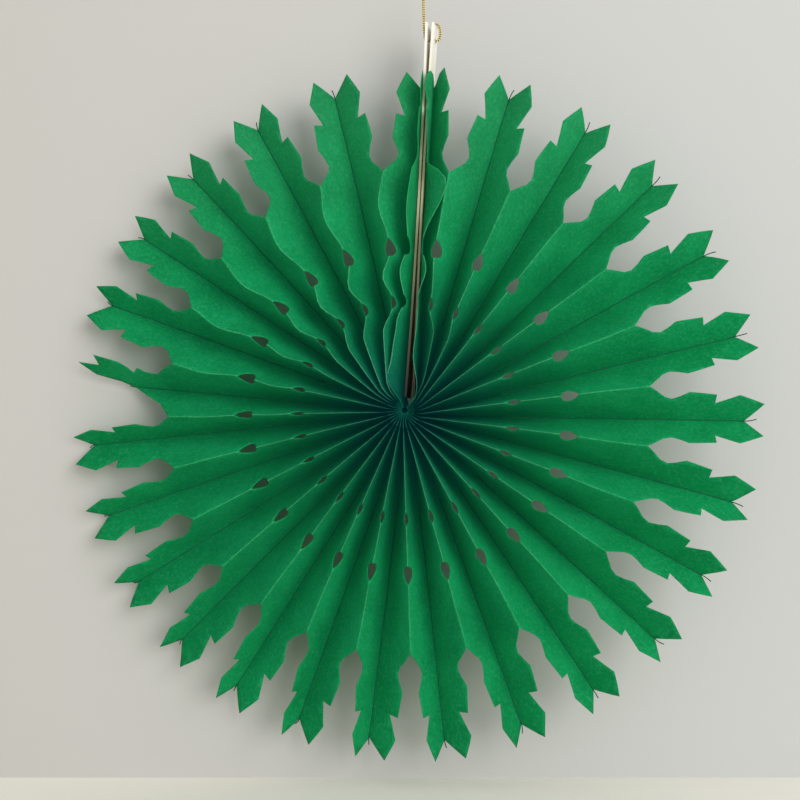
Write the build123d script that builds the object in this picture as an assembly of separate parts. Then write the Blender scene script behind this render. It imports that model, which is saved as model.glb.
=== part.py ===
"""Paper fan medallion: a long strip of green paper, pleated, die-cut and gathered at one edge into a
full circle. Its two ends are glued to a pair of card strips, and a gold cord through the strips hangs it.

The fan's face looks along -Y and +Z is up. Ridge folds stand at the front and valley folds at the back.
Angles run clockwise from straight up, as seen from the front. Every piece is modelled round the hub and
then placed below the hanging knot, which is the origin.
"""
from build123d import *
import os
from math import asin, cos, degrees, pi, radians, sin, sqrt, tan

# Pleats
PAPER = 0.2  # thickness of the paper
PANEL_WIDTH = 22.0  # one pleat, from fold to fold
LEAVES = 26  # pitches round the circle; the seam splits the last one
LEAF_LAG = 1.2  # degrees by which the whole leaves lie back from the seam
BUNCH_SIDE = 3.77  # degrees by which the leaves crowd from the right to the left
BUNCH_BELOW = 2.53  # degrees by which they crowd towards the bottom
BUNCH_TWICE = 0.56  # degrees of crowding that comes twice in a turn
BUNCH_FOUR = 0.4  # degrees of crowding that comes four times in a turn
BUNCH_FOUR_PHASE = 30.0
RIDGE_LAG = 0.85  # degrees by which the ridges lie back from the middles between their valleys
RIDGE_LEAN = 1.36  # degrees by which they lean forward at the top and further back at the bottom
RIDGE_LEAN_PHASE = 15.0
HUB_RADIUS = 2.4  # the pleats are gathered and glued solid inside this
HUB_HOLE_RADIUS = 0.8
FOLD_STRETCHES = 5  # straight stretches along a fold outside the gathers, shorter near the hub

# Die-cut rim: how far each point lies inside the tips, and its share of the way from valley to ridge
TIP_RADIUS = 127.5
TIP_SHARE = 0.37
NOTCH_DROP = 6.5
CORNER_DROP = 8.6
CORNER_SHARE = 0.59
NECK_DROP = 16.6
NECK_SHARE = 0.43
TOOTH_DROP = 17.0
TOOTH_SHARE = 0.63
SHOULDER_DROP = 26.2
SHOULDER_SHARE = 0.74
HOLLOW_DROP = 32.6
HOLLOW_SHARE = 0.59
ARCH_DROP = 40.5

# Punched holes, centred on the ridge folds
TEAR_RADIUS = 58.5  # from the hub to where the tear-drop is widest
TEAR_HALF_WIDTH = 1.7
TEAR_HUB_END = 2.8  # from there in to the blunt end
TEAR_POINT = 3.8  # from there out to the point
SLIT_RADIUS = 39.0
SLIT_HALF_WIDTH = 0.8
SLIT_HALF_LENGTH = 2.4

# One leaf on the left has its end twisted over and creased
BENT_LEAF = 20
BENT_LEAN = 1.6  # degrees by which its valley lies back
CREASE_DROP = 22.0  # where the crease crosses the valley

# Card strips at the seam
SEAM_TILT = 3.25  # degrees
SEAM_BOW = 0.3  # how far the seam bows to the right at the hub
CARD = 0.8
CARD_WIDTH = 11.0
CARD_FRONT = 0.5  # front edges, behind the middle of the pleats
CARD_LEAN = 0.5  # how far a front edge lies to the left of its back edge
CARD_START = 5.0  # from the hub to the lower end
CARD_TOP = 143.5
CARD_PINCH_RADIUS = 80.0  # where the two strips lie closest
CARD_PINCH_GAP = 0.4
CARD_HUB_GAP = 2.4
CARD_HOLE_RADIUS = 1.3
CARD_HOLE_DROP = 5.8  # from the top edge to the cord's hole
CARD_CLEARANCE = 0.1  # between a strip and the paper glued to it

# How far the free front edges of the two end pleats stand off their strips, from the hub to the rim: they
# curl away before and after each punched hole, and the right one's tip leans back over the strips
CURL_RIGHT = (0.0, 1.5, 0.4, 3.0, 0.8, 8.0, 0.0, -2.0)
CURL_LEFT = (0.0, 1.0, 0.4, 3.0, 0.6, 2.0, 1.5, 1.0)

# Dark threads that lie in the valleys
THREAD_RADIUS = 0.17
THREAD_START = 20.0
THREAD_TAIL = 3.1  # beyond the notch
THREAD_TAIL_MORE = 1.6  # longer by this on the right, and shorter on the left
THREAD_CLEARANCE = 0.1

# Hanging cord
CORD_RADIUS = 0.45
CORD_SIDES = 8
KNOT_RADIUS = 1.5
KNOT_HALF_HEIGHT = 2.0
HUB_BELOW_KNOT = 158.0
HUB_LEFT_OF_KNOT = 5.2
HUB_BEFORE_KNOT = CARD_FRONT + CARD_WIDTH / 2

HALF_PITCH = radians(180 / LEAVES)
OUTER_RADIUS = TIP_RADIUS + 5.0  # uncut edge of the pleated strip
PIECE_PLACE = Location((-HUB_LEFT_OF_KNOT, -HUB_BEFORE_KNOT, -HUB_BELOW_KNOT))


def stations():
    """Radii where the folds are set out, closer together near the hub."""
    reach = OUTER_RADIUS - CARD_START
    spread = [(i / FOLD_STRETCHES) ** 1.25 for i in range(FOLD_STRETCHES + 1)]
    return [HUB_RADIUS] + [CARD_START + reach * share for share in spread]


def depth(radius):
    """Front-to-back distance between a ridge and a valley, for a pleat of constant width."""
    return sqrt(PANEL_WIDTH**2 - (radius * tan(HALF_PITCH)) ** 2)


def wall(radius):
    """The paper's thickness measured front to back; near the hub the steep pleats close up."""
    return PAPER * PANEL_WIDTH / (radius * tan(HALF_PITCH))


def card_gap(radius):
    """Gap between the two bowed strips."""
    bow = (CARD_PINCH_RADIUS - radius) / CARD_PINCH_RADIUS
    return CARD_PINCH_GAP + (CARD_HUB_GAP - CARD_PINCH_GAP) * bow**2


def seam_middle(radius):
    """How far the bowed seam lies to the right of its straight line."""
    return SEAM_BOW * (1 - (radius / CARD_TOP) ** 2)


def seam_edge(radius, side):
    """Sideways place of the outside of the end pleat on the right (1) or left (-1) strip.

    The strips lean, so the right pleat touches its strip at the back and the left one at the front.
    """
    held = max(radius, CARD_START)
    edge = seam_middle(held) + side * (card_gap(held) / 2 + CARD + CARD_CLEARANCE + PAPER)
    if side > 0:
        edge += CARD_LEAN
    return edge * radius / held


def seam_angle(radius, side):
    return degrees(asin(seam_edge(radius, side) / radius))


def valley_turn(leaf):
    """Share of a turn, from one side of the seam to the other, at which a leaf's valley lies."""
    if leaf in (0, LEAVES):
        return leaf / LEAVES
    even = 2 * pi * leaf / LEAVES
    crowding = BUNCH_SIDE * sin(even) + BUNCH_BELOW * (1 - cos(even)) + BUNCH_TWICE * sin(2 * even)
    crowding += BUNCH_FOUR * (cos(4 * even + radians(BUNCH_FOUR_PHASE)) - 1)
    lag = LEAF_LAG + (BENT_LEAN if leaf == BENT_LEAF else 0)
    return leaf / LEAVES + (crowding - lag) / 360


def ridge_turn(leaf):
    """The ridge after a leaf lies near the middle of the way to the next valley."""
    even = 2 * pi * (leaf + 0.5) / LEAVES
    lean = RIDGE_LEAN * cos(even - radians(RIDGE_LEAN_PHASE)) - RIDGE_LAG
    return (valley_turn(leaf) + valley_turn(leaf + 1)) / 2 + lean / 360


def turn_angle(turn, radius):
    """A share of the turn from the right side of the seam to its left side, as an angle."""
    right = seam_angle(radius, 1)
    left = seam_angle(radius, -1)
    return SEAM_TILT + right + turn * (360 - right + left)


def front_point(radius, angle, y=0.0):
    return Vector(radius * sin(radians(angle)), y, radius * cos(radians(angle)))


def flat_face(*corners):
    return Face(Wire.make_polygon(corners, close=True))


def strip_faces(first, second):
    """Triangles between two rows of points."""
    faces = []
    for i in range(len(first) - 1):
        faces.append(flat_face(first[i], second[i], second[i + 1]))
        faces.append(flat_face(first[i], second[i + 1], first[i + 1]))
    return faces


def edge_faces(first, second):
    """Four-sided faces between two rows of points that differ only front to back."""
    return [
        flat_face(first[i], second[i], second[i + 1], first[i + 1]) for i in range(len(first) - 1)
    ]


def folded_panel(valley, ridge):
    """One uncut pleat between the valley and the ridge at two shares of a turn."""
    rows = {"valley_front": [], "valley_back": [], "ridge_front": [], "ridge_back": []}
    for radius in stations():
        back = depth(radius) / 2
        thick = wall(radius)
        valley_at = turn_angle(valley, radius)
        ridge_at = turn_angle(ridge, radius)
        rows["valley_front"].append(front_point(radius, valley_at, back - thick))
        rows["valley_back"].append(front_point(radius, valley_at, back))
        rows["ridge_front"].append(front_point(radius, ridge_at, -back))
        rows["ridge_back"].append(front_point(radius, ridge_at, thick - back))
    faces = strip_faces(rows["valley_front"], rows["ridge_front"])
    faces += strip_faces(rows["valley_back"], rows["ridge_back"])
    faces += edge_faces(rows["valley_front"], rows["valley_back"])
    faces += edge_faces(rows["ridge_front"], rows["ridge_back"])
    for end in (0, -1):
        order = ("valley_front", "ridge_front", "ridge_back", "valley_back")
        faces.append(flat_face(*[rows[name][end] for name in order]))
    return Solid(Shell(faces))


def cutter(points):
    """A straight cut along the fan's axis through a front-view outline."""
    outline = make_face(Polyline(*points, close=True))
    return extrude(outline, amount=PANEL_WIDTH, dir=(0, 1, 0), both=True)


def rim_points():
    """The die-cut edge of half a leaf, from the valley's notch to the ridge, as radius and share."""
    return [
        (TIP_RADIUS - NOTCH_DROP, 0.0),
        (TIP_RADIUS, TIP_SHARE),
        (TIP_RADIUS - CORNER_DROP, CORNER_SHARE),
        (TIP_RADIUS - NECK_DROP, NECK_SHARE),
        (TIP_RADIUS - TOOTH_DROP, TOOTH_SHARE),
        (TIP_RADIUS - SHOULDER_DROP, SHOULDER_SHARE),
        (TIP_RADIUS - HOLLOW_DROP, HOLLOW_SHARE),
        (TIP_RADIUS - ARCH_DROP, 1.0),
    ]


def rim_cutter(valley, ridge, points):
    """Everything outside the die-cut edge of one half leaf."""
    clear = OUTER_RADIUS + PANEL_WIDTH
    past = 0.4
    first, last = points[0], points[-1]
    around = [(clear, -past), (first[0], -past), *points, (last[0], 1 + past), (clear, 1 + past)]
    outline = []
    for radius, share in around:
        start = turn_angle(valley, radius)
        outline.append(front_point(radius, start + share * (turn_angle(ridge, radius) - start)))
    return cutter(outline)


def tear_points():
    """The tear-drop's point and the two mirrored sides, as sideways and outward distances."""
    x, near, far = TEAR_HALF_WIDTH, -TEAR_HUB_END, TEAR_POINT
    side = [(0.25 * x, near), (0.8 * x, near / 2), (x, 0), (0.7 * x, far / 2)]
    return [(0, far)] + side[::-1] + [(-across, out) for across, out in side]


def slit_points():
    """A slim lens with six corners."""
    x, near, far = SLIT_HALF_WIDTH, SLIT_HALF_LENGTH / 3, SLIT_HALF_LENGTH
    return [(0, far), (x, near), (x, -near), (0, -far), (-x, -near), (-x, near)]


def hole_cutters(ridge):
    """The tear-drop and the slit that are punched through one ridge fold."""
    cutters = []
    for points, radius in ((tear_points(), TEAR_RADIUS), (slit_points(), SLIT_RADIUS)):
        angle = turn_angle(ridge, radius)
        middle = front_point(radius, angle)
        across = front_point(1, angle + 90)
        out = front_point(1, angle)
        cutters.append(cutter([middle + across * x + out * z for x, z in points]))
    return cutters


def cut_panel(valley, ridge, points):
    panel = folded_panel(valley, ridge)
    return panel.cut(rim_cutter(valley, ridge, points), *hole_cutters(ridge))


def end_curl(radius, curls):
    """How far an end pleat's free edge stands off its strip."""
    between = (SLIT_RADIUS + TEAR_RADIUS) / 2
    arch = TIP_RADIUS - ARCH_DROP
    tooth = TIP_RADIUS - TOOTH_DROP
    places = (0.0, 0.4 * SLIT_RADIUS, SLIT_RADIUS, between, TEAR_RADIUS, arch, tooth, OUTER_RADIUS)
    for i in range(len(places) - 1):
        if radius <= places[i + 1]:
            along = (radius - places[i]) / (places[i + 1] - places[i])
            return curls[i] + along * (curls[i + 1] - curls[i])
    return curls[-1]


def end_front(radius, curls):
    """Front-to-back place of an end pleat's free edge, which keeps the pleat's width."""
    free_width = PANEL_WIDTH - depth(radius) / 2 + CARD_FRONT
    return CARD_FRONT - sqrt(free_width**2 - end_curl(radius, curls) ** 2)


def end_panel(curls, side):
    """An end pleat beside the seam: it stands along its strip, bends there and has a free front edge."""
    outer = {"back": [], "heel": [], "bend": [], "front": []}
    for radius in stations():
        back = depth(radius) / 2
        heel = back - wall(radius)
        bend = min(CARD_FRONT, heel - 2 * PAPER)
        x = seam_edge(radius, side)
        z = sqrt(radius**2 - x**2)
        outer["back"].append(Vector(x, back, z))
        outer["heel"].append(Vector(x, heel, z))
        outer["bend"].append(Vector(x, bend, z))
        outer["front"].append(Vector(x + side * end_curl(radius, curls), end_front(radius, curls), z))
    inner = {name: [p - Vector(side * PAPER, 0, 0) for p in row] for name, row in outer.items()}
    faces = strip_faces(outer["back"], inner["back"]) + strip_faces(outer["front"], inner["front"])
    for rows in (outer, inner):
        faces += edge_faces(rows["back"], rows["heel"]) + edge_faces(rows["heel"], rows["bend"])
        faces += strip_faces(rows["bend"], rows["front"])
    for end in (0, -1):
        ring = [outer[name][end] for name in outer] + [inner[name][end] for name in reversed(inner)]
        faces.append(flat_face(*ring))
    panel = Solid(Shell(faces))
    clear = OUTER_RADIUS + PANEL_WIDTH
    edge = [(depth(radius) / 2 - share * PANEL_WIDTH, radius) for radius, share in rim_points()]
    around = [(clear, clear), (clear, edge[0][1]), *edge, (-clear, edge[-1][1]), (-clear, clear)]
    rim = make_face(Polyline(*[(0, y, z) for y, z in around], close=True))
    cuts = [extrude(rim, amount=PANEL_WIDTH, dir=(1, 0, 0), both=True)]
    for points, radius in ((tear_points(), TEAR_RADIUS), (slit_points(), SLIT_RADIUS)):
        flat = PANEL_WIDTH / (radius * tan(HALF_PITCH))
        notch = [(0, x * flat + end_front(radius, curls), radius + z) for x, z in points]
        hole = make_face(Polyline(*notch, close=True))
        cuts.append(extrude(hole, amount=PANEL_WIDTH, dir=(1, 0, 0), both=True))
    return panel.cut(*cuts).rotate(Axis.Y, SEAM_TILT)


def bent_rim():
    """The two halves of the creased leaf: one is folded away, the other carries the twisted end."""
    crease = (TIP_RADIUS - CREASE_DROP, 0.0)
    arch = (TIP_RADIUS - ARCH_DROP, 1.0)
    folded = [crease, (TIP_RADIUS - 0.85 * ARCH_DROP, 0.5), arch]
    twisted = [
        crease,
        (TIP_RADIUS - 0.35 * CREASE_DROP, 0.26),
        (TIP_RADIUS - 0.08 * CREASE_DROP, 0.52),
        (TIP_RADIUS - 0.45 * CREASE_DROP, 0.53),
        (TIP_RADIUS - 0.4 * CREASE_DROP, 0.79),
        (TIP_RADIUS - NECK_DROP, 0.72),
        (TIP_RADIUS - CREASE_DROP, 0.52),
        (TIP_RADIUS - SHOULDER_DROP, 0.6),
        (TIP_RADIUS - HOLLOW_DROP, 0.51),
        arch,
    ]
    return folded, twisted


def pleated_paper():
    leaves = []
    for leaf in range(LEAVES + 1):
        before, after = rim_points(), rim_points()
        if leaf == BENT_LEAF:
            before, after = bent_rim()
        if leaf > 0:
            leaves.append(cut_panel(valley_turn(leaf), ridge_turn(leaf - 1), before))
        if leaf < LEAVES:
            leaves.append(cut_panel(valley_turn(leaf), ridge_turn(leaf), after))
    hub = Plane.XZ * (Circle(HUB_RADIUS + PAPER) - Circle(HUB_HOLE_RADIUS))
    hub = extrude(hub, amount=depth(HUB_RADIUS) / 2, both=True)
    paper = Part() + [*leaves, hub]
    # The end pleats nearly touch their neighbours at the hub, so they join one at a time.
    for curls, side in ((CURL_LEFT, -1), (CURL_RIGHT, 1)):
        paper += end_panel(curls, side)
    return paper


def card_strip(side):
    """A bowed card strip with the cord's hole near its top."""
    steps = 6
    radii = [CARD_START + (CARD_TOP - CARD_START) * i / steps for i in range(steps + 1)]
    inner = [(seam_middle(r) + side * card_gap(r) / 2, 0, r) for r in radii]
    outer = [(x + side * CARD, 0, r) for x, _, r in reversed(inner)]
    across = Vector(CARD_LEAN, CARD_WIDTH, 0)
    outline = Pos(0, CARD_FRONT, 0) * make_face(Polyline(*inner, *outer, close=True))
    strip = extrude(outline, amount=across.length, dir=across)
    hole_at = Plane(origin=(0, CARD_FRONT + CARD_WIDTH / 2, CARD_TOP - CARD_HOLE_DROP), z_dir=(1, 0, 0))
    strip -= extrude(hole_at * Circle(CARD_HOLE_RADIUS), amount=CARD_WIDTH, both=True)
    return strip.rotate(Axis.Y, SEAM_TILT)


def on_fold(value, radius):
    """A measure of the folds at a radius on the straight stretch between two stations."""
    radii = stations()
    for inner, outer in zip(radii, radii[1:]):
        if radius <= outer:
            along = (radius - inner) / (outer - inner)
            return value(inner) + along * (value(outer) - value(inner))


def thread_lift(radius):
    """How far in front of a valley's back a thread rests on both panels."""
    return wall(radius) * (PAPER + THREAD_RADIUS + THREAD_CLEARANCE) / PAPER


def valley_thread(leaf):
    """A square thread that lies on both panels of a valley and ends beyond the notch."""
    end = TIP_RADIUS - (CREASE_DROP if leaf == BENT_LEAF else NOTCH_DROP)
    out = front_point(1, turn_angle(valley_turn(leaf), end))
    tail = THREAD_TAIL + THREAD_TAIL_MORE * out.X
    radii = [r for r in stations() if THREAD_START < r < end] + [end, end + tail]
    sections = []
    for radius in radii:
        y = on_fold(depth, radius) / 2 - on_fold(thread_lift, radius)
        middle = front_point(radius, turn_angle(valley_turn(leaf), radius), y)
        at = Plane(origin=middle, x_dir=(0, 1, 0), z_dir=out)
        sections.append(at * RegularPolygon(THREAD_RADIUS, 4))
    return loft(sections, ruled=True)


def route_radii(points):
    """The largest arc that each corner of a route has room for."""
    radii = []
    for before, corner, after in zip(points, points[1:], points[2:]):
        first = Vector(*corner) - Vector(*before)
        second = Vector(*after) - Vector(*corner)
        half_turn = radians(first.get_angle(second)) / 2
        radii.append(0.45 * min(first.length, second.length) / tan(half_turn))
    return radii


def hanging_cord(points):
    radii = route_radii(points)
    print("cord radii", [round(r, 2) for r in radii])
    route = FilletPolyline(*points, radius=radii)
    start = Plane(origin=route @ 0, z_dir=route % 0)
    section = start * RegularPolygon(CORD_RADIUS, CORD_SIDES)
    cord = sweep(section, path=route)
    plain_volume = route.length * section.area
    print("cord length", round(route.length, 2), "volume share", round(cord.volume / plain_volume, 4))
    return cord


def cord_knot():
    """The knot that ties the two ends of the cord, at the origin: a waisted bead of turns."""
    r, h = KNOT_RADIUS, KNOT_HALF_HEIGHT
    half = [(0, -h), (0.7 * r, -0.8 * h), (r, -0.3 * h), (r, 0.3 * h), (0.7 * r, 0.8 * h), (0, h)]
    profile = make_face(Polyline(*[(x, 0, z) for x, z in half], close=True))
    return revolve(profile, axis=Axis.Z)


# The cord's route, from the knot down the left of the seam, through both strips, over the right one
# and back; points measured from the knot.
CORD_ROUTE = [
    (0.0, -0.46, -2.05),
    (0.35, -0.5, -18.4),
    (1.2, -0.5, -20.4),
    (4.0, -0.35, -20.7),
    (6.05, -0.1, -20.3),
    (6.65, 0.1, -17.3),
    (5.75, 0.3, -13.9),
    (3.6, 0.45, -14.0),
    (2.95, 0.5, -19.9),
    (1.2, 0.5, -20.4),
    (0.35, 0.5, -18.4),
    (0.0, 0.46, -2.05),
]

os.makedirs("parts", exist_ok=True)
pieces = {
    "pleated_paper": PIECE_PLACE * pleated_paper(),
    "card_strip_left": PIECE_PLACE * card_strip(-1),
    "card_strip_right": PIECE_PLACE * card_strip(1),
    "valley_threads": PIECE_PLACE * Compound([valley_thread(leaf) for leaf in range(1, LEAVES)]),
    "hanging_cord": hanging_cord(CORD_ROUTE),
    "cord_knot": cord_knot(),
}
for node, piece in pieces.items():
    export_step(piece, f"parts/{node}.step")
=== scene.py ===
from math import asin, cos, pi, radians, sin, sqrt, tan

import bmesh
import bpy
from mathutils import Matrix, Vector, noise


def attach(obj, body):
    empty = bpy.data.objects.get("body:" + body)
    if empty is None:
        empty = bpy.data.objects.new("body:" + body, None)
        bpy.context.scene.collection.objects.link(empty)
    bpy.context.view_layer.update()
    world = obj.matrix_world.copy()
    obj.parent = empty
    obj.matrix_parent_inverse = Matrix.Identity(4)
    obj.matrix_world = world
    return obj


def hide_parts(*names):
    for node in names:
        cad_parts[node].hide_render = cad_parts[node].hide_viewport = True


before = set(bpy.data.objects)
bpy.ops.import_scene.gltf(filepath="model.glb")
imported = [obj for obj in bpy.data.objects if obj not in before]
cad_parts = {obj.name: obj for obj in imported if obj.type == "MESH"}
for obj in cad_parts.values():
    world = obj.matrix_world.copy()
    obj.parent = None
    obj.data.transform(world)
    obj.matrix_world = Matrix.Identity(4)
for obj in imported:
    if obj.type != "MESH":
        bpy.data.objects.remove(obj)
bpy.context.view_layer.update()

# Pleated paper
# One long strip of thin green craft paper, creased into pleats of one width, die-cut along its outer edge,
# punched on its front folds and gathered along its inner edge into a circle. Sizes here are in millimetres.
MM = 0.001
HUB = Vector((-5.2, -6.0, -158.0)) * MM
LEAVES = 26
BENT_LEAF = 20
PANEL_WIDTH = 22.0
HALF_PITCH = radians(180 / LEAVES)


def ease(low, high, value):
    """Rises smoothly from 0 at low to 1 at high."""
    t = min(1, max(0, (value - low) / (high - low)))
    return t * t * (3 - 2 * t)


def hump(low, high, value):
    """A smooth rise and fall between low and high."""
    return sin(pi * min(1, max(0, (value - low) / (high - low)))) ** 2


def along(pairs, value):
    """Runs smoothly through pairs of place and height."""
    for (low, first), (high, second) in zip(pairs, pairs[1:]):
        if value <= high:
            return first + (second - first) * ease(low, high, value)
    return pairs[-1][1]


def depth(radius):
    """Front-to-back distance between ridge and valley."""
    return sqrt(PANEL_WIDTH**2 - (radius * tan(HALF_PITCH)) ** 2)


# The two card strips at the seam lean to the right, bow a little and pinch together part of the way up.
SEAM_TILT = radians(3.25)
CARD_START = 5.0
CARD_TOP = 143.5
CARD_PINCH_RADIUS = 80
CARD_PINCH_GAP = 0.4
CARD_SPREAD = 2.0
CARD_BOW = 0.3
RIGHT_CARD_LEAN = 0.5
FOLD_OFF_GAP = 1.1


def seam_edge(radius, side):
    """Sideways place of the end pleat's fold beside the bowed and leaning card strips."""
    held = max(radius, CARD_START)
    gap = CARD_PINCH_GAP + CARD_SPREAD * ((CARD_PINCH_RADIUS - held) / CARD_PINCH_RADIUS) ** 2
    lean = RIGHT_CARD_LEAN if side > 0 else 0.0
    bow = CARD_BOW * (1 - (held / CARD_TOP) ** 2)
    return (bow + lean + side * (gap / 2 + FOLD_OFF_GAP)) * radius / held


# Degrees by which the valleys lag behind an even spacing, and the bent leaf's valley further still.
VALLEY_LAG = 1.2
BENT_LEAF_LAG = 1.6


def valley_turn(leaf):
    """Share of the turn at which a leaf's valley lies; the leaves crowd to the left and below."""
    if leaf in (0, LEAVES):
        return leaf / LEAVES
    even = 2 * pi * leaf / LEAVES
    crowding = 3.77 * sin(even) + 2.53 * (1 - cos(even)) + 0.56 * sin(2 * even)
    crowding += 0.4 * (cos(4 * even + radians(30)) - 1)
    lag = VALLEY_LAG + (BENT_LEAF_LAG if leaf == BENT_LEAF else 0)
    return leaf / LEAVES + (crowding - lag) / 360


def ridge_turn(leaf):
    """Share of the turn at which the ridge after a leaf's valley lies, a degree or two off the middle."""
    even = 2 * pi * (leaf + 0.5) / LEAVES
    lean = 1.36 * cos(even - radians(15)) - 0.85
    return (valley_turn(leaf) + valley_turn(leaf + 1)) / 2 + lean / 360


def turn_angle(turn, radius):
    """An angle clockwise from straight up, seen from the front."""
    right = asin(seam_edge(radius, 1) / radius)
    left = asin(seam_edge(radius, -1) / radius)
    return SEAM_TILT + right + turn * (2 * pi - right + left)


def at_front(radius, angle, y):
    """A place in the fan, with y behind the middle of the pleats' depth."""
    return HUB + Vector((radius * sin(angle), y, radius * cos(angle))) * MM


HUB_RADIUS = 1.1
NOTCH_RADIUS = 121.0
TIP_RADIUS = 127.5
ARCH_RADIUS = 87.0
BENT_NOTCH_RADIUS = 105.5

# Radius and share of the way from valley to ridge along the die-cut edge of half a leaf. The bent leaf has
# one half folded over and the other twisted.
RIM = [
    (NOTCH_RADIUS, 0.0), (TIP_RADIUS, 0.37), (119.0, 0.59), (110.6, 0.43), (110.9, 0.63),
    (101.2, 0.74), (97.8, 0.645), (95.0, 0.595), (92.4, 0.66), (ARCH_RADIUS, 1.0),
]
FOLDED_RIM = [(BENT_NOTCH_RADIUS, 0.0), (92.9, 0.5), (ARCH_RADIUS, 1.0)]
TWISTED_RIM = [
    (BENT_NOTCH_RADIUS, 0.0), (110.3, 0.14), (119.7, 0.26), (125.8, 0.52), (117.5, 0.53),
    (118.9, 0.79), (109.5, 0.71), (106.2, 0.58), (104.4, 0.46), (102.4, 0.62), (99.7, 0.54),
    (95.0, 0.51), (ARCH_RADIUS, 1.0),
]

SLIT_RADIUS = 39.0
SLIT_HALF_LENGTH = 2.4
SLIT_HALF_WIDTH = 0.85
TEAR_RADIUS = 58.5
TEAR_HALF_WIDTH = 1.75
TEAR_ROUND_END = 2.8
TEAR_POINTED_END = 3.8


def punched_edge():
    """The ridge edge of half a leaf with half a slit and half a tear-drop cut out of it, hub first."""
    edge = [(HUB_RADIUS, 1.0)]
    for i in range(7):
        out = -1 + i / 3
        wide = SLIT_HALF_WIDTH * (1 - out**2)
        radius = SLIT_RADIUS + SLIT_HALF_LENGTH * out
        edge.append((radius, 1 - wide / (radius * HALF_PITCH)))
    for i in range(11):
        out = -1 + i / 5
        if out < 0:
            wide = TEAR_HALF_WIDTH * sqrt(1 - out**2)
            radius = TEAR_RADIUS + TEAR_ROUND_END * out
        else:
            wide = TEAR_HALF_WIDTH * (1 - out) ** 0.7 * (1 + out) ** 0.35
            radius = TEAR_RADIUS + TEAR_POINTED_END * out
        edge.append((radius, 1 - wide / (radius * HALF_PITCH)))
    return edge


# A flat half leaf is divided so that it can bend: by rings out from the hub, and at shares of the way from
# valley to ridge.
RING_STEP = 2.6
RINGS = 48
BEND_SHARES = [0.02, 0.06, 0.14, 0.25, 0.37, 0.5, 0.62, 0.73, 0.82, 0.89, 0.94, 0.97, 0.985]


def flat_half_leaf(rim):
    """Half a leaf as it is cut flat, with radius along Y and the share from valley to ridge along X."""
    flat = bmesh.new()
    outline = [(HUB_RADIUS, 0.0)] + punched_edge() + rim[::-1]
    flat.faces.new([flat.verts.new((share, radius, 0)) for radius, share in outline])
    cuts = [((0, HUB_RADIUS + RING_STEP * i, 0), (0, 1, 0)) for i in range(1, RINGS + 1)]
    cuts += [((share, 0, 0), (1, 0, 0)) for share in BEND_SHARES]
    for place, across in cuts:
        everything = flat.verts[:] + flat.edges[:] + flat.faces[:]
        bmesh.ops.bisect_plane(flat, geom=everything, dist=1e-5, plane_co=place, plane_no=across)
    mesh = bpy.data.meshes.new("flat_half_leaf")
    flat.to_mesh(mesh)
    flat.free()
    return mesh


# How far the ridges are pushed aside, in millimetres.
RIGHT_HUB_PUSH = 3.2
LEFT_HUB_PUSH = 4.2
INNER_BULGE = 3.1
OUTER_BULGE = 2.8
FIRST_LEAF_PUSH = 1.8


def ridge_sway(angle, radius):
    """How far a ridge wanders clockwise, in millimetres.

    Ridges beside the seam are pushed away from it near the hub, and those on its left also bulge to the
    left between their holes. The first ridge on the right leans back to the seam.
    """
    left = ease(radians(280), radians(348), angle)
    right = 1 - ease(radians(8), radians(50), angle)
    near_hub = ease(HUB_RADIUS, 12, radius) * (1 - ease(29, 38, radius))
    bulge = INNER_BULGE * hump(40, 57, radius) * ease(radians(250), radians(350), angle)
    bulge += OUTER_BULGE * hump(61, 89, radius) * ease(radians(255), radians(310), angle)
    first = FIRST_LEAF_PUSH * (1 - ease(radians(15), radians(24), angle)) * ease(40, 60, radius)
    return (RIGHT_HUB_PUSH * right - LEFT_HUB_PUSH * left) * near_hub - bulge - first


# The ridges are rounded over the last share of a panel, more so towards the rim; the panels bow and ripple.
# The ripple has a fixed seed, so that each run folds the same fan.
ROUND_FROM = 0.94
ROUND_SHARE = 0.06
INNER_ROUND = 0.12
RIM_ROUND = 0.4
PANEL_BOW = 0.5
RIPPLE_HEIGHT = 0.5
RIPPLES_PER_METRE = 55
RIPPLE_SEED = 4
noise.seed_set(RIPPLE_SEED)


def fold(share, radius, valley, ridge):
    """Folds a point of the flat half leaf into its place in the fan."""
    start = turn_angle(valley, radius)
    swing = turn_angle(ridge, radius) - start
    soft = INNER_ROUND + RIM_ROUND * ease(45, 90, radius)
    rounded = soft * max(0, (share - ROUND_FROM) / ROUND_SHARE) ** 2 * MM
    bowed = PANEL_BOW * sin(pi * share) * ease(10, 60, radius)
    sway = ridge_sway(start + swing, radius) * share**2 / radius
    if valley == 0:
        sway -= FIRST_LEAF_PUSH * (ease(0, 0.3, share) - share**2) * ease(40, 60, radius) / radius
    angle = start + swing * share + sway
    point = at_front(radius, angle, depth(radius) * (0.5 - share))
    point.y += rounded + bowed * MM
    ripple = noise.noise_vector(point * RIPPLES_PER_METRE)
    return point + ripple * MM * RIPPLE_HEIGHT * ease(20, 110, radius) * min(1, share * 4)


half_leaf = flat_half_leaf(RIM)
folded_half = flat_half_leaf(FOLDED_RIM)
twisted_half = flat_half_leaf(TWISTED_RIM)

paper = bmesh.new()
share_mark = paper.verts.layers.float.new("share")
radius_mark = paper.verts.layers.float.new("radius")


def add_half_leaf(flat, place):
    """Adds one flat half leaf and moves each of its points by place(share, radius)."""
    before = len(paper.verts)
    paper.from_mesh(flat)
    paper.verts.ensure_lookup_table()
    for vert in paper.verts[before:]:
        share, radius = vert.co.x, vert.co.y
        vert[share_mark] = share
        vert[radius_mark] = radius
        vert.co = place(share, radius)


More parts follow.
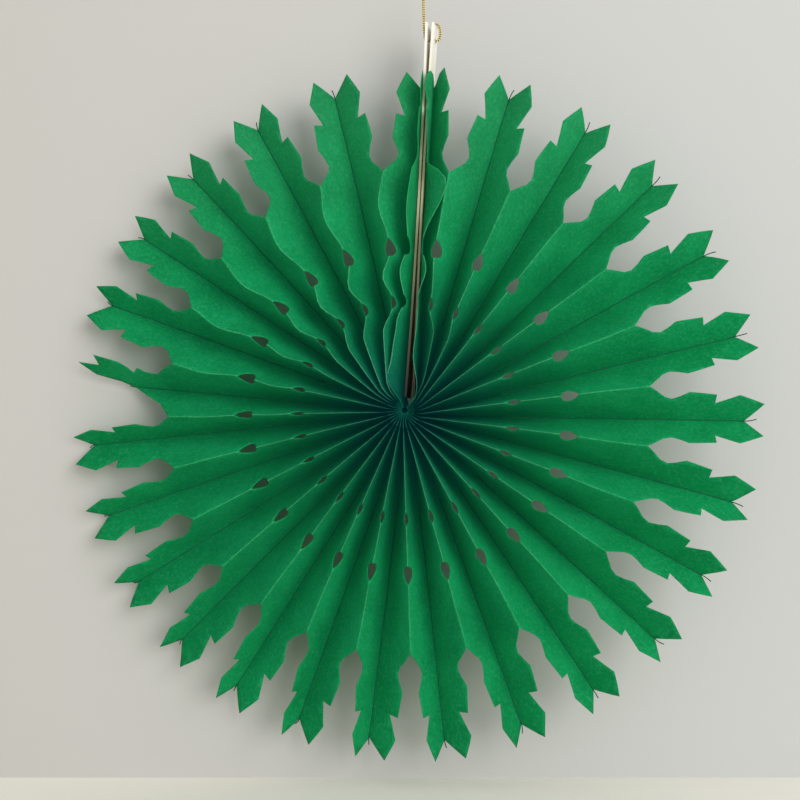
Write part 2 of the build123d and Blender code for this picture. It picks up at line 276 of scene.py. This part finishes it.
# How far the free edges of the end pleats stand off their strips, as radius and distance. Their tips curl, so
# they reach less far out.
RIGHT_FLARE = [
    (2, 0), (9, 1.2), (20, -0.6), (33, 0.3), (40, 0.2), (51, 2.8), (59, 1.0), (83, 8.4),
    (91, 1.6), (101, 0.4), (119, -3.0), (128, -3.4),
]
LEFT_FLARE = [
    (2, 0), (12, 5.4), (19, 4.2), (32, 3.2), (39, 1.0), (50, 3.3), (59, 1.0), (73, 2.2),
    (95, 0.4), (128, 0.4),
]
CARD_FRONT = 0.5
RIGHT_TIP_LEAN = 1.5
TIP_CURLS_FROM = 123
TIP_CURL = 0.5


def end_pleat(side, flares):
    """Places an end pleat: its back half stands along its card strip, and its front half flares away."""
    def place(share, radius):
        back = depth(radius) / 2
        bend = (back - CARD_FRONT) / PANEL_WIDTH
        free = max(0, share - bend) / (1 - bend)
        flare = along(flares, radius)
        reach = sqrt(max(1, (PANEL_WIDTH * (1 - bend)) ** 2 - flare**2))
        y = back - PANEL_WIDTH * min(share, bend) - reach * free
        lean = RIGHT_TIP_LEAN * ease(100, 121, radius) * ease(0, 0.12, free) if side > 0 else 0
        x = seam_edge(radius, side) + side * flare * free**1.5 - lean
        upright = sqrt(radius**2 - seam_edge(radius, side) ** 2)
        z = upright - TIP_CURL * max(0, radius - TIP_CURLS_FROM)
        return HUB + Matrix.Rotation(SEAM_TILT, 3, "Y") @ Vector((x, y, z)) * MM
    return place


add_half_leaf(half_leaf, end_pleat(1, RIGHT_FLARE))
add_half_leaf(half_leaf, end_pleat(-1, LEFT_FLARE))

# The tip of the last leaf, left of the seam, is drawn in by this much.
LAST_TIP_DRAWN_IN = 1.9
for leaf in range(LEAVES + 1):
    valley = valley_turn(leaf)
    if leaf > 0:
        ridge = ridge_turn(leaf - 1)
        drawn_in = LAST_TIP_DRAWN_IN if leaf == LEAVES else 0
        add_half_leaf(
            folded_half if leaf == BENT_LEAF else half_leaf,
            lambda share, radius: fold(share, radius - drawn_in * ease(88, 110, radius), valley, ridge),
        )
    if leaf < LEAVES:
        ridge = ridge_turn(leaf)
        add_half_leaf(
            twisted_half if leaf == BENT_LEAF else half_leaf,
            lambda share, radius: fold(share, radius, valley, ridge),
        )
bmesh.ops.remove_doubles(paper, verts=paper.verts, dist=0.02 * MM)
bmesh.ops.recalc_face_normals(paper, faces=paper.faces)


def finished(name, bm, material):
    """Makes a smooth mesh object of a bmesh, with its material, riding on the one body."""
    for face in bm.faces:
        face.smooth = True
    mesh = bpy.data.meshes.new(name)
    bm.to_mesh(mesh)
    bm.free()
    piece = bpy.data.objects.new(name, mesh)
    bpy.context.scene.collection.objects.link(piece)
    mesh.materials.append(material)
    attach(piece, "root")
    return piece


class Thread:
    """A socket of a material's nodes. Arithmetic on it adds Math nodes."""

    def __init__(self, tree, socket=None):
        self.tree = tree
        self.socket = socket

    def node(self, kind, settings, sockets, output=0):
        """Adds a node with its settings and its sockets' values or links, and returns one output."""
        made = self.tree.nodes.new(kind)
        for name, value in settings.items():
            setattr(made, name, value)
        for name, value in sockets.items():
            if isinstance(value, Thread):
                self.tree.links.new(value.socket, made.inputs[name])
            else:
                made.inputs[name].default_value = value
        return Thread(self.tree, made.outputs[output])

    def maths(self, operation, first, second):
        return self.node("ShaderNodeMath", {"operation": operation}, {0: first, 1: second})

    def __add__(self, other):
        return self.maths("ADD", self, other)

    def __radd__(self, other):
        return self.maths("ADD", other, self)

    def __sub__(self, other):
        return self.maths("SUBTRACT", self, other)

    def __rsub__(self, other):
        return self.maths("SUBTRACT", other, self)

    def __mul__(self, other):
        return self.maths("MULTIPLY", self, other)

    def __rmul__(self, other):
        return self.maths("MULTIPLY", other, self)

    def between(self, low, high):
        """0 at low, 1 at high, and held beyond."""
        sockets = {"Value": self, "From Min": low, "From Max": high}
        return self.node("ShaderNodeMapRange", {"clamp": True}, sockets)

    def mix(self, first, second):
        """first where this is 0 and second where it is 1, for colours."""
        settings = {"data_type": "RGBA"}
        return self.node("ShaderNodeMix", settings, {0: self, 6: first, 7: second}, output=2)

    def place(self):
        """The place on the object."""
        return self.node("ShaderNodeTexCoord", {}, {}, output="Object")

    def mark(self, name):
        """A value that the mesh carries at its points."""
        return self.node("ShaderNodeAttribute", {"attribute_name": name}, {}, output="Fac")

    def noise(self, vector, scale, detail, roughness):
        sockets = {"Vector": vector, "Scale": scale, "Detail": detail, "Roughness": roughness}
        return self.node("ShaderNodeTexNoise", {}, sockets)

    def cover(self):
        """Makes this shader the material's surface."""
        output = self.tree.nodes.new("ShaderNodeOutputMaterial")
        self.tree.links.new(self.socket, output.inputs["Surface"])


def new_material(name):
    """An empty material, and a Thread to add its nodes with."""
    material = bpy.data.materials.new(name)
    material.use_nodes = True
    material.node_tree.nodes.clear()
    return material, Thread(material.node_tree)


# The fibres give the green its grain. Shade is painted in near the hub, where the folds crowd: the green is
# deep and bluish there, brightest half way out and a little darker at the tips. A highlight is painted pale
# along the ridge folds, and a sheen over the upper leaves.
green_paper, pen = new_material("green_craft_paper")
place = pen.place()
share = pen.mark("share")
radius = pen.mark("radius")
cloud = pen.noise(place, 60, 4, 0.6)
fibre = pen.noise(place, 850, 5, 0.7)
speck = pen.noise(place, 2200, 2, 0.5)
tone = (cloud * 0.35 + fibre * 0.4 + speck * 0.25).between(0.40, 0.60)
outer = tone.mix((0.002, 0.29, 0.084, 1), (0.010, 0.47, 0.160, 1))
# Painted shade near the hub: the paper is deeper and bluer where the folds crowd.
painted_hub_shade = tone.mix((0.002, 0.095, 0.06, 1), (0.008, 0.16, 0.105, 1))
tips = tone.mix((0.001, 0.23, 0.062, 1), (0.007, 0.385, 0.125, 1))
paper_colour = radius.between(6, 58).mix(painted_hub_shade, outer)
paper_colour = radius.between(75, 120).mix(paper_colour, tips)
# A highlight is painted pale along the ridge folds, strongest near the hub, where the rounded creases catch
# the light.
painted_ridge_highlight = share.between(0.982, 0.992) * fibre.between(0.2, 0.6) * radius.between(4, 14)
painted_ridge_highlight = painted_ridge_highlight * (0.7 - 0.5 * radius.between(50, 85))
height = pen.node("ShaderNodeSeparateXYZ", {}, {"Vector": place}, output="Z")
# A sheen is painted over the upper leaves: they are paler towards the top.
painted_top_sheen = height.between(-0.11, -0.05) * 0.08
# The pale colour carries the painted ridge highlight, the painted top sheen and pale fibre flecks.
pale = painted_ridge_highlight + painted_top_sheen + fibre.between(0.50, 0.70) * radius.between(20, 70) * 0.18
paper_colour = pale.mix(paper_colour, (0.20, 0.58, 0.36, 1))
bump = pen.node(
    "ShaderNodeBump", {},
    {"Strength": 0.3, "Distance": 0.0004, "Height": fibre + cloud * 0.6},
)
# A faint glow is painted into the paper, bluer at the hub, so that the deep folds don't go black.
painted_fold_glow = radius.between(6, 40).mix((0, 0.013, 0.020, 1), (0.001, 0.028, 0.018, 1))
face = pen.node(
    "ShaderNodeBsdfPrincipled", {},
    {
        "Base Color": paper_colour, "Roughness": 0.7, "Specular IOR Level": 0.08, "Normal": bump,
        "Emission Color": painted_fold_glow, "Emission Strength": 1.0,
    },
)
through = pen.node("ShaderNodeBsdfTranslucent", {}, {"Color": (0.006, 0.55, 0.19, 1)})
light_let_through = 0.40
pen.node("ShaderNodeMixShader", {}, {0: light_let_through, 1: face, 2: through}).cover()
green_paper.cycles.emission_sampling = "NONE"

PAPER_THICKNESS = 0.16
pleats = finished("pleated_fan", paper, green_paper)
pleats.data.set_sharp_from_angle(angle=radians(35))
stock = pleats.modifiers.new("paper_thickness", "SOLIDIFY")
stock.thickness = PAPER_THICKNESS * MM
stock.offset = 0
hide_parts("pleated_paper")

# Valley threads
# A dark thread is laid in each valley fold and held by the gathering; its end sticks out at the notch.
# The ends are longer on the right of the fan, and each curls its own way.
THREAD_RADIUS = 0.2
THREAD_START = 34
SHORT_TAIL = 1.6
LONG_TAIL_MORE = 2.8
TAIL_CURL = 0.9
SEATED_STEPS = 24
TAIL_STEPS = 4

dark_thread, pen = new_material("dark_green_thread")
place = pen.place()
lint = pen.noise(place, 1500, 3, 0.6)
from_hub = pen.node(
    "ShaderNodeVectorMath", {"operation": "DISTANCE"}, {0: place, 1: HUB}, output="Value",
)
in_fold = lint.mix((0.006, 0.12, 0.05, 1), (0.016, 0.20, 0.085, 1))
loose_end = lint.mix((0.005, 0.03, 0.015, 1), (0.02, 0.07, 0.04, 1))
thread_colour = from_hub.between(0.119, 0.122).mix(in_fold, loose_end)
pen.node(
    "ShaderNodeBsdfPrincipled", {},
    {"Base Color": thread_colour, "Roughness": 0.9, "Specular IOR Level": 0.1},
).cover()

lines = bpy.data.curves.new("thread_lines", "CURVE")
lines.dimensions = "3D"
lines.bevel_depth = THREAD_RADIUS * MM
lines.bevel_resolution = 1
lines.use_fill_caps = True
for leaf in range(1, LEAVES):
    turn = valley_turn(leaf)
    notch = BENT_NOTCH_RADIUS if leaf == BENT_LEAF else NOTCH_RADIUS
    tail = SHORT_TAIL + LONG_TAIL_MORE * (0.5 + 0.5 * sin(turn_angle(turn, notch) + 0.3))
    seated = notch - THREAD_START
    radii = [THREAD_START + seated * i / SEATED_STEPS for i in range(SEATED_STEPS + 1)]
    radii += [notch + tail * (i + 1) / TAIL_STEPS for i in range(TAIL_STEPS)]
    spline = lines.splines.new("POLY")
    spline.points.add(len(radii) - 1)
    for point, radius in zip(spline.points, radii):
        seat = min(radius, notch)
        loose = max(0, radius - notch) / tail
        wander = 0.10 * sin(radius * 0.31 + leaf * 2.1) / radius
        curl = TAIL_CURL * loose**2 * sin(leaf * 1.9) / radius
        y = depth(seat) / 2 - 0.3 * PANEL_WIDTH / (seat * HALF_PITCH) - loose**2 * 0.8
        point.co = (*at_front(radius, turn_angle(turn, radius) + (wander + curl), y), 1)
line_object = bpy.data.objects.new("thread_lines", lines)
threads = bmesh.new()
threads.from_mesh(bpy.data.meshes.new_from_object(line_object))
bpy.data.objects.remove(line_object)
valley_lines = finished("valley_thread_lines", threads, dark_thread)
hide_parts("valley_threads")

# Card strips
# Two narrow strips of cream card, cut from sheet, stand at the seam with the paper's ends glued to them.
# They are pale at the top and browner where the paper covers them; shade between the pleats is painted in,
# dark down by the hub.
cream_card, pen = new_material("cream_card")
place = pen.place()
grain = pen.node("ShaderNodeMapping", {}, {"Vector": place, "Scale": (1.0, 1.0, 0.15)})
flecks = pen.noise(grain, 2200, 4, 0.65)
stain = pen.noise(place, 90, 3, 0.5)
card_tone = (flecks * 0.6 + stain * 0.4).between(0.3, 0.7)
card_colour = card_tone.mix((0.84, 0.80, 0.70, 1), (0.93, 0.91, 0.86, 1))
height = pen.node("ShaderNodeSeparateXYZ", {}, {"Vector": place}, output="Z")
card_colour = height.between(-0.060, -0.020).mix((0.70, 0.62, 0.42, 1), card_colour)
# Painted shade: the card darkens down by the hub, between the pleats.
card_colour = height.between(-0.150, -0.100).mix((0.14, 0.12, 0.10, 1), card_colour)
bump = pen.node("ShaderNodeBump", {}, {"Strength": 0.3, "Distance": 0.0002, "Height": flecks})
pen.node(
    "ShaderNodeBsdfPrincipled", {},
    {"Base Color": card_colour, "Roughness": 0.75, "Specular IOR Level": 0.3, "Normal": bump},
).cover()
for name in ("card_strip_left", "card_strip_right"):
    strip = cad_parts[name]
    strip.data.materials.clear()
    strip.data.materials.append(cream_card)

# Hanging cord
# A thin gold cord of two twisted strands, doubled: from its knot it runs down beside the left strip,
# through a hole in each strip, over the top of the right one and back again.
CORD_ROUTE = [
    (0.0, -0.46, -2.05), (0.35, -0.5, -18.4), (1.2, -0.5, -20.4), (4.0, -0.35, -20.7),
    (6.05, -0.1, -20.3), (6.65, 0.1, -17.3), (5.75, 0.3, -13.9), (3.6, 0.45, -14.0),
    (2.95, 0.5, -19.9), (1.2, 0.5, -20.4), (0.35, 0.5, -18.4), (0.0, 0.46, -2.05),
]
STRANDS = 2
STRAND_RADIUS = 0.27
STRAND_OFFSET = 0.25
STRAND_SIDES = 7
TWIST_LENGTH = 1.7
CORD_STEP = 0.12


def spline_line(name, points, closed=False):
    """Points read along one smooth spline through a route's control points, in metres."""
    curve = bpy.data.curves.new(name, "CURVE")
    curve.dimensions = "3D"
    spline = curve.splines.new("NURBS")
    spline.points.add(len(points) - 1)
    for point, place in zip(spline.points, points):
        point.co = (*(Vector(place) * MM), 1)
    spline.order_u = 3
    spline.use_endpoint_u = not closed
    spline.use_cyclic_u = closed
    spline.resolution_u = 10
    carrier = bpy.data.objects.new(name, curve)
    mesh = bpy.data.meshes.new_from_object(carrier)
    line = [vert.co.copy() for vert in mesh.vertices]
    bpy.data.objects.remove(carrier)
    return line


def evenly(line, step):
    """The same line with points a step apart."""
    even = [line[0]]
    left = step
    for start, end in zip(line, line[1:]):
        run = (end - start).length
        while run >= left:
            start = start + (end - start) * (left / run)
            run -= left
            even.append(start)
            left = step
        left -= run
    even.append(line[-1])
    return even


def twisted_cord(line):
    """A bmesh of the cord's round strands, wound about a line. Its points carry the lay of the twist."""
    bm = bmesh.new()
    lay_mark = bm.verts.layers.float.new("lay")
    rings = [[] for _ in range(STRANDS)]
    normal = Vector((0, 1, 0))
    length = 0.0
    for i, point in enumerate(line):
        onward = (line[min(i + 1, len(line) - 1)] - line[max(i - 1, 0)]).normalized()
        normal = (normal - onward * normal.dot(onward)).normalized()
        other = onward.cross(normal)
        if i:
            length += (point - line[i - 1]).length
        for n in range(STRANDS):
            turn = 2 * pi * (length / (TWIST_LENGTH * MM) + n / STRANDS)
            middle = point + (normal * cos(turn) + other * sin(turn)) * (STRAND_OFFSET * MM)
            ring = []
            for j in range(STRAND_SIDES):
                around = 2 * pi * j / STRAND_SIDES
                outward = normal * cos(around) + other * sin(around)
                vert = bm.verts.new(middle + outward * (STRAND_RADIUS * MM))
                vert[lay_mark] = STRANDS * length / (TWIST_LENGTH * MM)
                ring.append(vert)
            rings[n].append(ring)
    for strand in rings:
        for first, second in zip(strand, strand[1:]):
            for j in range(STRAND_SIDES):
                k = (j + 1) % STRAND_SIDES
                bm.faces.new((first[j], first[k], second[k], second[j]))
        bm.faces.new(strand[0][::-1])
        bm.faces.new(strand[-1])
    bmesh.ops.recalc_face_normals(bm, faces=bm.faces)
    return bm


gold_cord, pen = new_material("gold_twisted_cord")
lay = pen.mark("lay")
glint = pen.noise(pen.place(), 2600, 3, 0.6)
# Shade and highlight are painted along the twist: dark brown between its turns and bright gold on each, with
# painted glints from the noise.
twist_shade_and_highlight = pen.maths("SINE", lay * (2 * pi), 0.0) + glint
cord_colour = twist_shade_and_highlight.between(-0.3, 0.9).mix((0.10, 0.06, 0.015, 1), (0.95, 0.78, 0.30, 1))
pen.node(
    "ShaderNodeBsdfPrincipled", {},
    {"Base Color": cord_colour, "Metallic": 0.4, "Roughness": glint * 0.3 + 0.25},
).cover()

cord_line = evenly(spline_line("cord_route", CORD_ROUTE), CORD_STEP * MM)
cord_piece = finished("gold_cord", twisted_cord(cord_line), gold_cord)
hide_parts("hanging_cord")

# Cord knot
# The two ends of the cord are tied together in one overhand knot, just above the picture.
# Its line is a closed trefoil of the same twisted cord.
KNOT_WIDTH = 0.95
KNOT_DEPTH = 0.5
KNOT_HEIGHT = 1.3
KNOT_POINTS = 24
knot_route = []
for i in range(KNOT_POINTS):
    t = 2 * pi * i / KNOT_POINTS
    bulge = 0.62 + 0.38 * cos(3 * t)
    knot_route.append(
        (KNOT_WIDTH * bulge * cos(2 * t), KNOT_DEPTH * sin(3 * t), KNOT_HEIGHT * bulge * sin(2 * t)),
    )
knot_line = spline_line("knot_route", knot_route, closed=True)
knot = twisted_cord(evenly(knot_line + knot_line[:1], CORD_STEP * MM))
knot_piece = finished("cord_end_knot", knot, gold_cord)
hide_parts("cord_knot")
length = sum((b - a).length for a, b in zip(cord_line, cord_line[1:]))

# Room, light and camera
# A pale wall stands close behind the fan, above a pale shelf; soft light comes from the right.
# The camera looks from a little to the right and below.


def one_sided_paint(pen, colour):
    """A matt paint that the camera sees through from behind, so that it never hides the fan."""
    paint = pen.node("ShaderNodeBsdfPrincipled", {}, {"Base Color": colour, "Roughness": 0.95})
    clear = pen.node("ShaderNodeBsdfTransparent", {}, {})
    behind = pen.node("ShaderNodeNewGeometry", {}, {}, output="Backfacing")
    camera_ray = pen.node("ShaderNodeLightPath", {}, {}, output="Is Camera Ray")
    see_through = behind * (camera_ray * 0.75 + 0.25)
    pen.node("ShaderNodeMixShader", {}, {0: see_through, 1: paint, 2: clear}).cover()


wall_paint, pen = new_material("pale_wall_paint")
place = pen.place()
across = pen.node("ShaderNodeSeparateXYZ", {}, {"Vector": place}, output="X")
# Painted shade: the wall's paint is darker and warmer towards the left, away from the window, under a faint
# mottle.
paint_tone = pen.noise(place, 3.0, 3, 0.5) * 0.3 + across.between(-0.16, 0.10) * 0.7
one_sided_paint(pen, paint_tone.mix((0.51, 0.49, 0.45, 1), (0.54, 0.54, 0.53, 1)))

shelf_paint, pen = new_material("pale_shelf_paint")
paint_tone = pen.noise(pen.place(), 8.0, 3, 0.5)
one_sided_paint(pen, paint_tone.mix((0.92, 0.88, 0.79, 1), (0.95, 0.92, 0.83, 1)))

world = bpy.data.worlds.new("soft_daylight")
world.use_nodes = True
daylight = world.node_tree.nodes["Background"].inputs
daylight["Color"].default_value = (0.97, 0.99, 1.0, 1)
daylight["Strength"].default_value = 0.72
bpy.context.scene.world = world

WINDOW_PLACE = Vector((1.55, -1.95, 0.50))
WINDOW_WIDTH = 1.7
WINDOW_WATTS = 42.0
lamp = bpy.data.lights.new("window", "AREA")
lamp.shape = "SQUARE"
lamp.size = WINDOW_WIDTH
lamp.energy = WINDOW_WATTS
window = bpy.data.objects.new("window", lamp)
window.location = WINDOW_PLACE
window.rotation_euler = (HUB - WINDOW_PLACE).to_track_quat("-Z", "Y").to_euler()
bpy.context.scene.collection.objects.link(window)

# The camera's place is seen from the hub; pan and tilt turn it off the hub. The focal length is in pixels.
CAMERA_DISTANCE = 0.518
CAMERA_AZIMUTH = radians(6.33)
CAMERA_ELEVATION = radians(-1.67)
CAMERA_PAN = radians(-0.31)
CAMERA_TILT = radians(0.44)
FOCAL_PIXELS = 1420
PICTURE_PIXELS = 800
SENSOR_WIDTH = 36.0
away = Vector((
    sin(CAMERA_AZIMUTH) * cos(CAMERA_ELEVATION),
    -cos(CAMERA_AZIMUTH) * cos(CAMERA_ELEVATION),
    sin(CAMERA_ELEVATION),
))
forward = -away
right = forward.cross(Vector((0, 0, 1))).normalized()
up = right.cross(forward)
aim = (forward + right * tan(CAMERA_PAN) + up * tan(CAMERA_TILT)).normalized()
lens = bpy.data.cameras.new("camera")
lens.sensor_fit = "HORIZONTAL"
lens.sensor_width = SENSOR_WIDTH
lens.lens = FOCAL_PIXELS * SENSOR_WIDTH / PICTURE_PIXELS
lens.clip_start = 0.01
camera = bpy.data.objects.new("camera", lens)
camera.location = HUB + away * CAMERA_DISTANCE
camera.rotation_euler = aim.to_track_quat("-Z", "Y").to_euler()
bpy.context.scene.collection.objects.link(camera)
bpy.context.scene.camera = camera
bpy.context.scene.view_settings.view_transform = "Standard"


def stage_plane(name, paint, corners):
    """A wall or shelf; corners are across the picture, away from the camera and up, from the hub."""
    bm = bmesh.new()
    level = Vector((aim.x, aim.y, 0)).normalized()
    across = Vector((level.y, -level.x, 0))
    places = [HUB + across * x + level * y + Vector((0, 0, z)) for x, y, z in corners]
    bm.faces.new([bm.verts.new(place) for place in places])
    mesh = bpy.data.meshes.new(name)
    bm.to_mesh(mesh)
    bm.free()
    mesh.materials.append(paint)
    plane = bpy.data.objects.new(name, mesh)
    bpy.context.scene.collection.objects.link(plane)


SIDE = 1.5
WALL_TOP = 1.2
WALL_Y = 0.0245
SHELF_FRONT = -1.2
SHELF_Z = -0.1381
stage_plane(
    "wall", wall_paint,
    [(-SIDE, WALL_Y, SHELF_Z), (SIDE, WALL_Y, SHELF_Z), (SIDE, WALL_Y, WALL_TOP), (-SIDE, WALL_Y, WALL_TOP)],
)
stage_plane(
    "shelf", shelf_paint,
    [
        (-SIDE, SHELF_FRONT, SHELF_Z), (SIDE, SHELF_FRONT, SHELF_Z),
        (SIDE, WALL_Y, SHELF_Z), (-SIDE, WALL_Y, SHELF_Z),
    ],
)
